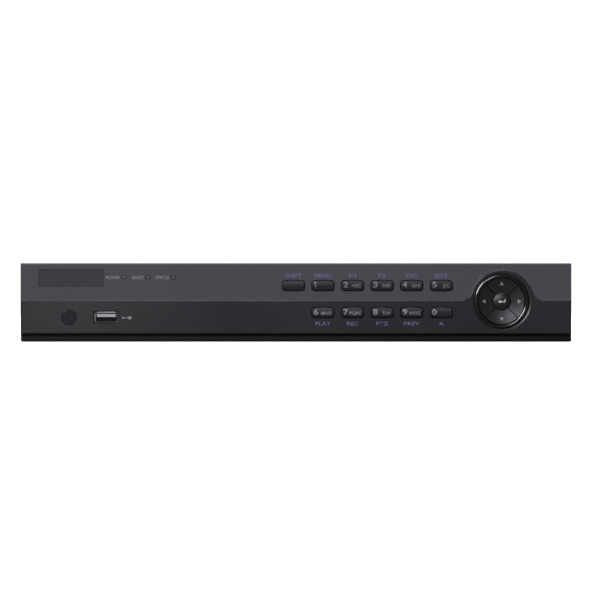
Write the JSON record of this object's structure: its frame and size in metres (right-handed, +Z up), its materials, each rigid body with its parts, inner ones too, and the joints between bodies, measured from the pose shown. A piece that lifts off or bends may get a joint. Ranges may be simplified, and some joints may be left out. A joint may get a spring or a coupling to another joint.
{
  "type": "dvr recorder",
  "caption": "Low desktop video recorder: dark moulded front with number keys, round arrow pad, memory port and lamp windows, steel case, rear sockets, fan and rocker switch.",
  "frame": {"origin": "middle of the overall width and depth, on the surface that the feet stand on", "axes": "+X to the right seen from the front, +Y towards the rear sockets, +Z up"},
  "size_m": [0.315, 0.242, 0.045],
  "materials": {
    "bezel": "fine grain, near black",
    "upper_fascia": "satin dark grey",
    "lower_fascia": "satin darker grey",
    "name_plate": "satin dark grey",
    "light_pipe": "translucent smoke",
    "ir_window": "dark infrared filter",
    "usb_shell": "tin plate",
    "usb_tongue": "white",
    "nav_ring": "polished near black",
    "key": "satin black",
    "nav_key": "satin black",
    "membrane": "grey silicone rubber",
    "front_board": "green solder mask",
    "small_screw": "zinc plate",
    "chassis": "galvanised",
    "cover": "black powder coat",
    "cover_screw": "black oxide",
    "foot": "matt",
    "main_board": "green solder mask",
    "heatsink": "black anodised",
    "chip": "moulded black",
    "capacitor": "bare can",
    "drive_body": "as cast",
    "drive_cover": "bright",
    "drive_board": "green solder mask",
    "data_cable": "red jacket",
    "power_cable": "black jacket",
    "ribbon": "grey ribbon",
    "bnc": "nickel plate",
    "bnc_insert": "white insulator",
    "jack_housing": "moulded black",
    "audio_sleeve": "nickel plate",
    "video_shell": "nickel plate",
    "video_insert": "blue",
    "digital_port": "tin plate",
    "network_jack": "tin plate",
    "terminal": "green",
    "power_jack": "black",
    "ground_screw": "bright zinc",
    "switch_frame": "black",
    "rocker": "black",
    "fan": "black",
    "fan_rotor": "black"
  },
  "bodies": {
    "recorder": {"front_bezel": "bezel", "upper_fascia": "upper_fascia", "lower_fascia": "lower_fascia", "name_plate": "name_plate", "led_light_pipes": "light_pipe", "ir_window": "ir_window", "usb_shell": "usb_shell", "usb_tongue": "usb_tongue", "nav_ring": "nav_ring", "keypad_membrane": "membrane", "front_board": "front_board", "front_panel_screws": "small_screw", "chassis_base": "chassis", "top_cover": "cover", "cover_screws": "cover_screw", "rubber_feet": "foot", "main_board": "main_board", "board_screws": "small_screw", "heatsink": "heatsink", "board_chips": "chip", "board_capacitors": "capacitor", "drive_body": "drive_body", "drive_cover": "drive_cover", "drive_board": "drive_board", "drive_screws": "small_screw", "drive_data_cable": "data_cable", "drive_power_cable": "power_cable", "front_ribbon_cable": "ribbon", "bnc_barrels": "bnc", "bnc_inserts": "bnc_insert", "jack_housings": "jack_housing", "audio_sleeves": "audio_sleeve", "video_port_shell": "video_shell", "video_port_insert": "video_insert", "digital_port": "digital_port", "network_jack": "network_jack", "control_terminal": "terminal", "power_jack": "power_jack", "ground_screw": "ground_screw", "switch_frame": "switch_frame", "fan_frame": "fan", "fan_screws": "small_screw"},
    "key_shift": {"key_shift": "key"},
    "key_1": {"key_1": "key"},
    "key_2": {"key_2": "key"},
    "key_3": {"key_3": "key"},
    "key_4": {"key_4": "key"},
    "key_5": {"key_5": "key"},
    "key_6": {"key_6": "key"},
    "key_7": {"key_7": "key"},
    "key_8": {"key_8": "key"},
    "key_9": {"key_9": "key"},
    "key_0": {"key_0": "key"},
    "nav_up": {"nav_up": "nav_key"},
    "nav_right": {"nav_right": "nav_key"},
    "nav_down": {"nav_down": "nav_key"},
    "nav_left": {"nav_left": "nav_key"},
    "nav_enter": {"nav_enter": "nav_key"},
    "power_rocker": {"power_rocker": "rocker"},
    "fan_rotor": {"fan_rotor": "fan_rotor"}
  },
  "joints": [
    {"name": "key_shift_press", "type": "slide", "parent": "recorder", "child": "key_shift", "axis": [0, 1, 0], "range_m": [0, 0.0008], "stiffness_N_per_m": 800, "springref_m": -0.0004, "deforming": ["keypad_membrane"]},
    {"name": "key_1_press", "type": "slide", "parent": "recorder", "child": "key_1", "axis": [0, 1, 0], "range_m": [0, 0.0008], "stiffness_N_per_m": 800, "springref_m": -0.0004, "deforming": ["keypad_membrane"]},
    {"name": "key_2_press", "type": "slide", "parent": "recorder", "child": "key_2", "axis": [0, 1, 0], "range_m": [0, 0.0008], "stiffness_N_per_m": 800, "springref_m": -0.0004, "deforming": ["keypad_membrane"]},
    {"name": "key_3_press", "type": "slide", "parent": "recorder", "child": "key_3", "axis": [0, 1, 0], "range_m": [0, 0.0008], "stiffness_N_per_m": 800, "springref_m": -0.0004, "deforming": ["keypad_membrane"]},
    {"name": "key_4_press", "type": "slide", "parent": "recorder", "child": "key_4", "axis": [0, 1, 0], "range_m": [0, 0.0008], "stiffness_N_per_m": 800, "springref_m": -0.0004, "deforming": ["keypad_membrane"]},
    {"name": "key_5_press", "type": "slide", "parent": "recorder", "child": "key_5", "axis": [0, 1, 0], "range_m": [0, 0.0008], "stiffness_N_per_m": 800, "springref_m": -0.0004, "deforming": ["keypad_membrane"]},
    {"name": "key_6_press", "type": "slide", "parent": "recorder", "child": "key_6", "axis": [0, 1, 0], "range_m": [0, 0.0008], "stiffness_N_per_m": 800, "springref_m": -0.0004, "deforming": ["keypad_membrane"]},
    {"name": "key_7_press", "type": "slide", "parent": "recorder", "child": "key_7", "axis": [0, 1, 0], "range_m": [0, 0.0008], "stiffness_N_per_m": 800, "springref_m": -0.0004, "deforming": ["keypad_membrane"]},
    {"name": "key_8_press", "type": "slide", "parent": "recorder", "child": "key_8", "axis": [0, 1, 0], "range_m": [0, 0.0008], "stiffness_N_per_m": 800, "springref_m": -0.0004, "deforming": ["keypad_membrane"]},
    {"name": "key_9_press", "type": "slide", "parent": "recorder", "child": "key_9", "axis": [0, 1, 0], "range_m": [0, 0.0008], "stiffness_N_per_m": 800, "springref_m": -0.0004, "deforming": ["keypad_membrane"]},
    {"name": "key_0_press", "type": "slide", "parent": "recorder", "child": "key_0", "axis": [0, 1, 0], "range_m": [0, 0.0008], "stiffness_N_per_m": 800, "springref_m": -0.0004, "deforming": ["keypad_membrane"]},
    {"name": "nav_up_press", "type": "slide", "parent": "recorder", "child": "nav_up", "axis": [0, 1, 0], "range_m": [0, 0.0008], "stiffness_N_per_m": 800, "springref_m": -0.0004, "deforming": ["keypad_membrane"]},
    {"name": "nav_right_press", "type": "slide", "parent": "recorder", "child": "nav_right", "axis": [0, 1, 0], "range_m": [0, 0.0008], "stiffness_N_per_m": 800, "springref_m": -0.0004, "deforming": ["keypad_membrane"]},
    {"name": "nav_down_press", "type": "slide", "parent": "recorder", "child": "nav_down", "axis": [0, 1, 0], "range_m": [0, 0.0008], "stiffness_N_per_m": 800, "springref_m": -0.0004, "deforming": ["keypad_membrane"]},
    {"name": "nav_left_press", "type": "slide", "parent": "recorder", "child": "nav_left", "axis": [0, 1, 0], "range_m": [0, 0.0008], "stiffness_N_per_m": 800, "springref_m": -0.0004, "deforming": ["keypad_membrane"]},
    {"name": "nav_enter_press", "type": "slide", "parent": "recorder", "child": "nav_enter", "axis": [0, 1, 0], "range_m": [0, 0.0008], "stiffness_N_per_m": 800, "springref_m": -0.0004, "deforming": ["keypad_membrane"]},
    {"name": "power_rocker_tilt", "type": "hinge", "parent": "recorder", "child": "power_rocker", "pos_m": [-0.094, 0.108, 0.022], "axis": [1, 0, 0], "range_deg": [0, 16]},
    {"name": "fan_spin", "type": "hinge", "parent": "recorder", "child": "fan_rotor", "pos_m": [-0.131, 0.1035, 0.0219], "axis": [0, 1, 0], "continuous": true}
  ]
}
